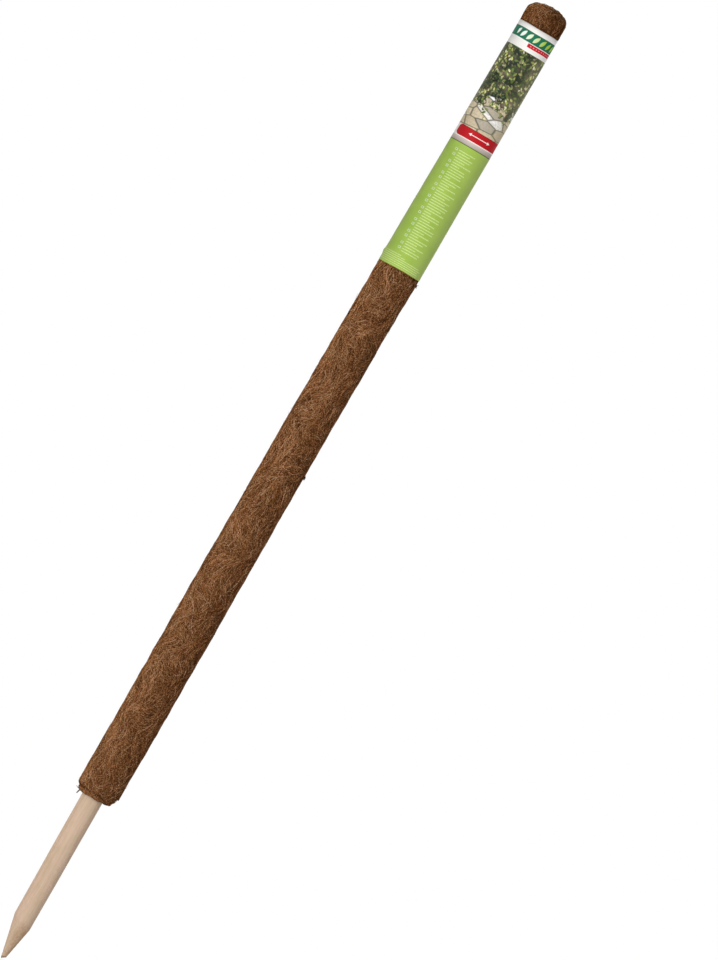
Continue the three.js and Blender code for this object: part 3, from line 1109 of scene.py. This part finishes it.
def foliage(across, down):
    """A leafy hedge in broken light, over pale paving."""
    spot = across.point(down)
    light = spot.noise(0.07, 3.0)
    ground = light.ramp((0.34, "#0a100a"), (0.46, "#242e1c"), (0.56, "#544a3e"), (0.68, "#847262"))
    rim = down + spot.noise(0.08, 2.0).spread(0.3, 0.7, -12, 12)
    ground = rim.spread(*PAVING_FROM).mix(ground, paving(spot))
    dim = ("#1c2a14", "#344622", "#505a34", "#70684c")
    green = ("#2c481a", "#566e2c", "#808c42", "#a6a070")
    sunlit = ("#b0ba54", "#d2d67a", "#eae6a8", "#f8f4dc")
    far = leaf_layer(spot, 3.0, ground, dim, 0.75)
    near = leaf_layer(spot.stretch((1, 1, 1), (0, 0, 0.7)), 4.2, far, green, 0.6)
    near = light.spread(0.4, 0.47).mix(far, near)
    bright = leaf_layer(spot.stretch((1, 1, 1), (0, 0, 2.1)), 3.6, near, sunlit, 0.5)
    hedge = light.spread(0.47, 0.58).mix(near, bright)
    return rim.spread(*HEDGE_TO).mix(ground, hedge)


def line_rows(down, pitch):
    """Lines down the print: each line's number, the way down it and its chance."""
    place = down / pitch
    row = place.floor()
    chance = row.node("TexWhiteNoise", {"W": row}, noise_dimensions="1D")
    return row, place.fraction(), chance


def field_lines(across, down):
    """Plain pale bars in groups of three and two lines, and their marks."""
    row, level, chance = line_rows(down, BAR_PITCH)
    turn = row % 5
    last = turn.within(1.5, 2.5).most(turn > 3.5)
    long_end = chance.spread(0, 1, *BAR_ENDS)
    short_end = chance.spread(0, 1, *LAST_BAR_ENDS)
    end = long_end + last * (short_end - long_end)
    bar = level.within(0.28, 0.66) * across.within(BAR_START, end)
    first = (turn < 0.5).most(turn.within(2.5, 3.5))
    mark = first * across.within(*MARK_ACROSS) * level.within(0.02, 0.98)
    pip = mark * across.within(*PIP_ACROSS) * level.within(0.3, 0.7)
    block = down.within(*BARS)
    return block * bar, block * mark, block * pip


def fine_rules(across, down):
    """Fine pale lines near the band's lower edge, the first two of them short."""
    _, level, chance = line_rows(down, RULE_PITCH)
    end = chance.spread(0, 1, *RULE_ENDS) + (down > LONG_RULES) * LONG_RULE
    return level.within(0.3, 0.7) * down.within(*RULES) * across.within(RULE_START, end)


def field_colour(across, down):
    """The light green field with plain pale bars, small marks and fine rules."""
    bar, mark, pip = field_lines(across, down)
    lines = bar.most(fine_rules(across, down))
    spot = across.point(down)
    ink = spot.noise(0.9, 2.0).spread(0.35, 0.6, 0.35, 0.9)
    colour = spot.noise(0.05, 2.0).ramp((0.3, "#96b548"), (0.7, "#9fbc52"))
    colour = (ink * lines).mix(colour, "#cee096")
    colour = (ink * mark).mix(colour, "#cedeb2")
    return pip.mix(colour, "#88a060")


def leaf_row(across, down):
    """A row of plain slanted leaves along the green stripe."""
    along = ((across / LEAF_PITCH).fraction() - 0.5) * LEAF_PITCH
    spot = along.point(down - LEAF_MIDDLE)
    return leaf_shape(spot.spin(LEAF_SLANT), *LEAF_HALVES) * across.within(*LEAVES_ACROSS)


def dash_row(across, down):
    """A row of short pale dashes along the small red strip."""
    place = (across / DASH_PITCH).fraction()
    return place.within(0.3, 0.8) * down.within(*DASHES) * across.within(*DASHES_ACROSS)


def length_arrow(across, down):
    """A plain arrow with a head at each end, in the middle of the red stripe."""
    aside = abs(across - ARROW_MIDDLE)
    off = abs(down - RED_MIDDLE)
    shaft = (aside < ARROW_SHAFT) * (off < SHAFT_HALF)
    head = aside.within(*ARROW_HEAD) * (off < aside.spread(*ARROW_HEAD, ARROW_HALF, 0))
    return shaft.most(head)


def add_head(colour, across, down):
    """Lays the green stripe with its leaves and the red strip with its dashes over a colour."""
    stripe = across.spread(-26, 26).mix("#1c7054", "#046644")
    leaves = across.spread(-12, 14).mix("#f0f4ec", "#aac842")
    stripe = leaf_row(across, down).mix(stripe, leaves)
    colour = down.within(*STRIPE).mix(colour, stripe)
    strip = down.within(*STRIP) * across.within(*STRIP_ACROSS)
    return strip.mix(colour, dash_row(across, down).mix("#c21224", "#e2787e"))


def add_red_stripe(colour, across, down):
    """Lays the wide red stripe, rounded at its start, with its arrow over a colour."""
    corner = (abs(down - RED_MIDDLE) / RED_HALF) ** 4
    stripe = down.within(*RED) * (across > corner * RED_CORNER + RED_START)
    red = down.spread(*RED_SHADE).mix("#b80816", "#600a10")
    return stripe.mix(colour, length_arrow(across, down).mix(red, "#f2ece6"))


def print_look():
    """Printed paper: stripes, a leafy panel and a light green field, with no words; painted shade on its
    left, a painted sheen at its sides and painted light on its right.
    """
    look = Look("printed_paper", roughness=0.6, Specular_IOR_Level=0.2)
    place = look.place()
    spot = add_node(look.tree, "UVMap", {}, uv_map="Print")
    across, down, _ = (part * (1 / MM) for part in spot.split())
    colour = place.noise(60.0, 2.0).ramp((0.3, "#ece9e4"), (0.7, "#f0ede8"))
    # Painted light: the paper is whiter towards its right side
    colour = across.spread(14, 28).mix(colour, "#fcf9f5")
    colour = add_head(colour, across, down)
    # Painted sheen: the panel and the field are mixed towards a pale tone at both sides, more on the
    # right
    pale = across.spread(6, 26, 0, 0.12) + across.spread(-16, -28, 0, 0.06)
    panel = pale.mix(foliage(across, down), "#f0eeb4")
    colour = down.within(*PANEL).mix(colour, panel)
    colour = add_red_stripe(colour, across, down)
    silver = down.spread(*SILVER_SHADE).mix("#cebfb6", "#b0a39c")
    colour = down.within(*SILVER).mix(colour, silver)
    colour = (down > SILVER[1]).mix(colour, "#54642c")
    field = pale.mix(field_colour(across, down), "#f0eeb4")
    colour = (down > FIELD_TOP).mix(colour, field)
    # Painted shade: the print is darkened on its left side, easing back towards the lap at the back
    shade = across.spread(-28, -2, 0.66, 1.0).most(across.spread(-36, -64, 0.66, 0.96))
    look.bump(place.noise(900.0, 3.0), 0.05, 0.05 * MM)
    return look.colour(colour.node("VectorMath", {0: colour, "Scale": shade}, operation="SCALE"))


def plain_paper_look():
    """The band's bare inner face."""
    look = Look("bare_paper", roughness=0.8)
    pulp = look.place().noise(700.0, 4.0)
    return look.colour(pulp.ramp((0.3, "#d6d2c8"), (0.7, "#e8e5dd")))


def paper_radius(angle, z):
    """The paper's inner radius with its ripples, and a small fold at its lower left."""
    near_end = np.exp(-(z - BAND_LOW_Z) / RIPPLE_REACH)
    ripple = RIPPLE * paper_ripples(angle, z) * (1 + near_end)
    fold = FOLD_HEIGHT * bell(np.cos(angle) + 1, FOLD_TURN) * bell(z - FOLD_Z, FOLD_WIDTH)
    return band_radius(angle, z) + np.maximum(ripple, -RIPPLE) + fold


def sheet_faces(angle, radius, z, thickness):
    """The inner and outer face of a thin sheet round the pole."""
    return [turned(angle, radius + skin, z) for skin in (0.0, thickness)]


def band_sheet():
    """The paper's two faces: a wrapped sheet whose end laps over its start at the back."""
    lap = LAP_WIDTH / BAND_RADIUS
    ramp = LAP_RAMP / BAND_RADIUS
    flat = np.linspace(0, TURN - ramp, BAND_COLUMNS)
    lapped = np.linspace(TURN - ramp, TURN + lap, LAP_COLUMNS)[1:]
    sweep = np.concatenate([flat, lapped])
    raised = smooth((sweep - TURN + ramp) / ramp) * LAP_LIFT
    angle = SEAM_ANGLE - lap / 2 + sweep
    low = BAND_LOW_Z + BAND_LOW_TRIM
    change = low + RIPPLE_ROWS * MM
    close = np.linspace(low, change, RIPPLE_ROWS, endpoint=False)
    z = np.concatenate([close, np.linspace(change, BAND_TOP_Z, BAND_ROWS)])[:, None]
    trim = TRIM_WANDER * paper_trim(angle, 0 * angle) * (2 * (z - BAND_LOW_Z) / BAND_LENGTH - 1)
    return sheet_faces(angle, paper_radius(angle, z) + raised, z + trim, PAPER), angle, z


def sheet_quads(rows, columns):
    """Faces of a thin sheet: outer, inner, then its low, top, first and last edges."""
    grid = np.arange(rows * columns).reshape(rows, columns)
    outer = grid + rows * columns

    def patch(*corners):
        return np.stack(corners, axis=-1).reshape(-1, 4)

    def edge(one, other):
        return patch(one[:-1], one[1:], other[1:], other[:-1])

    return [
        patch(outer[:-1, :-1], outer[:-1, 1:], outer[1:, 1:], outer[1:, :-1]),
        patch(grid[:-1, :-1], grid[1:, :-1], grid[1:, 1:], grid[:-1, 1:]),
        edge(grid[0], outer[0]),
        edge(outer[-1], grid[-1]),
        edge(outer[:, 0], grid[:, 0]),
        edge(grid[:, -1], outer[:, -1]),
    ]


def band_map(piece, quads, shape, counts):
    """A map of the band: the printed face large, the bare face and edges beside it."""
    skin, row, column = np.unravel_index(quads, (2, *shape))
    up = row / (shape[0] - 1)
    along = column / (shape[1] - 1)
    strip = np.repeat(np.arange(len(counts)), counts)[:, None]
    low_or_top = (strip == 2) | (strip == 3)
    lengthwise = MAP_START + MAP_LENGTH * np.where(low_or_top, along, up)
    printed = MAP_START + PRINT_WIDTH * along
    bare = BARE_START + BARE_WIDTH * along
    edges = EDGES_START + EDGE_PITCH * strip + EDGE_WIDTH * skin
    across = np.select([strip == 0, strip == 1], [printed, bare], edges)
    add_map(piece, "OFBake", np.stack([lengthwise, across], axis=-1))


def band():
    """The paper band, with its printed and bare faces and the maps that place them."""
    faces, angle, z = band_sheet()
    shape = faces[0].shape[:2]
    parts = sheet_quads(*shape)
    quads = np.concatenate(parts)
    looks = [print_look(), plain_paper_look()]
    piece = add_mesh("band_paper", np.concatenate(faces).reshape(-1, 3), quads, looks)
    slots = np.ones(len(quads), np.int32)
    slots[:len(parts[0])] = 0
    piece.data.polygons.foreach_set("material_index", slots)
    across = (angle - (FRONT + TURN)) * BAND_RADIUS
    places = np.stack(np.broadcast_arrays(across, BAND_TOP_Z - z), axis=-1).reshape(-1, 2)
    add_map(piece, "Print", np.tile(places, (2, 1))[quads.ravel()])
    band_map(piece, quads, shape, [len(part) for part in parts])
    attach(piece, "band")
    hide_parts("paper_band")


def glue_look():
    """Dried glue, amber and a little cloudy."""
    look = Look("dried_glue", roughness=0.35)
    cloud = look.place().noise(260.0, 3.0)
    return look.colour(cloud.ramp((0.3, "#ceb886"), (0.7, "#e4d6b0")))


def glue_strip():
    """The glue between the band's two ends, uneven at its edges."""
    z = np.linspace(GLUE_LOW_Z, GLUE_TOP_Z, GLUE_ROWS)[:, None]
    share = np.linspace(-1, 1, GLUE_COLUMNS)
    half = GLUE_HALF_WIDTH / BAND_RADIUS * (1 + GLUE_UNEVEN * glue_edge(np.sign(share), z))
    angle = SEAM_ANGLE + share * half
    faces = sheet_faces(angle, paper_radius(angle, z) + PAPER + GLUE_GAP, z, GLUE)
    quads = np.concatenate(sheet_quads(GLUE_ROWS, GLUE_COLUMNS))
    piece = add_mesh("band_glue", np.concatenate(faces).reshape(-1, 3), quads, [glue_look()])
    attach(piece, "band")
    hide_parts("band_glue_strip")


def staple_look():
    """Drawn steel wire."""
    look = Look("staple_wire", roughness=0.38, Metallic=1.0)
    drawn = look.place().stretch((2000, 2000, 300)).noise(1.0, 2.0)
    return look.colour(drawn.ramp((0.3, "#969698"), (0.7, "#b8b8ba")))


def dress_staples():
    """The staples keep their solids, with a finish of their own."""
    wire = staple_look()
    for name, node in frame["nodes"].items():
        if name.startswith("seam_staple"):
            node.material_slots[0].material = wire


def camera():
    """A long lens square to the pole, rolled so that it leans as in the photograph."""
    lens = bpy.data.cameras.new("camera")
    lens.sensor_fit = "AUTO"
    lens.sensor_width = SENSOR
    lens.lens = CAMERA_LENS
    lens.clip_end = 100
    distance = CAMERA_LENS / SENSOR * IMAGE_HEIGHT * METRES_PER_PIXEL
    right = Vector((math.cos(CAMERA_ROLL), 0, math.sin(CAMERA_ROLL)))
    up = Vector((-math.sin(CAMERA_ROLL), 0, math.cos(CAMERA_ROLL)))
    back = Vector((0, -1, 0))
    turn = Matrix((right, up, back)).transposed().to_4x4()
    holder = add_object("camera", lens)
    holder.matrix_world = Matrix.Translation(CAMERA_AIM + back * distance) @ turn
    bpy.context.scene.camera = holder


def seen_directly(tree):
    """1 for rays from the camera, a mirror or glass, 0 for the light on things."""
    seen = add_node(tree, "LightPath", {}, "Is Camera Ray")
    return seen.most(seen.output("Is Glossy Ray")).most(seen.output("Is Transmission Ray"))


def world():
    """White where it is seen, softer as light."""
    made = bpy.data.worlds.new("white_room")
    bpy.context.scene.world = made
    made.use_nodes = True
    shade = made.node_tree.nodes["Background"].inputs
    shade["Color"].default_value = (1, 1, 1, 1)
    feed(shade["Strength"], seen_directly(made.node_tree).spread(0, 1, ROOM_LIGHT, 1.0))


def floor_look():
    """A white floor that takes the pole's shadow near it and fades into the white room."""
    look = Look("white_floor", roughness=0.9)
    place = look.place()
    seen = seen_directly(look.tree)
    glow = seen.node("Emission", {"Strength": seen * FLOOR_GLOW})
    lit = seen.node("AddShader", {0: Value(look.shader.outputs[0]), 1: glow})
    white = seen.node("Emission", {})
    away = place.node("VectorMath", {0: place}, "Value", operation="LENGTH")
    fade = away.spread(FLOOR_SHOWN, 3 * FLOOR_SHOWN) * seen
    blend = seen.node("MixShader", {0: fade, 1: lit, 2: white})
    feed(look.tree.nodes["Material Output"].inputs["Surface"], blend)
    return look.colour(place.noise(4.0, 2.0).ramp((0.3, 0.79), (0.7, 0.81)))


def floor():
    """A wide round floor at the level of the stake's tip."""
    angle = ring_angles(FLOOR_SIDES)
    rows = [turned(angle, FLOOR_RADIUS, TIP_Z - depth) for depth in FLOOR_DEPTHS]
    capped_tube("floor", rows, floor_look())


def lamp(name, place, size, power):
    """A soft square lamp aimed at the middle of the pole."""
    light = bpy.data.lights.new(name, "AREA")
    light.size = size
    light.energy = power
    holder = add_object(name, light)
    holder.location = place
    aim = Vector((0, 0, (TIP_Z + TOP_Z) / 2)) - Vector(place)
    holder.rotation_euler = aim.to_track_quat("-Z", "Y").to_euler()


def lights():
    """A broad key from the front left, a weaker fill from the right and one from behind."""
    lamp("key", place=(-1.5, -2.65, 0.6), size=1.4, power=57)
    lamp("fill", place=(2.3, -1.9, 0.4), size=1.8, power=13)
    lamp("back", place=(0.0, 2.8, 0.7), size=1.6, power=22)


bpy.context.scene.view_settings.view_transform = "Standard"
camera()
world()
floor()
lights()
stake_piece()
felt = felt_look()
inner_layer(felt)
outer_layer(felt)
top_cap(felt)
coir_fibres()
band()
glue_strip()
dress_staples()
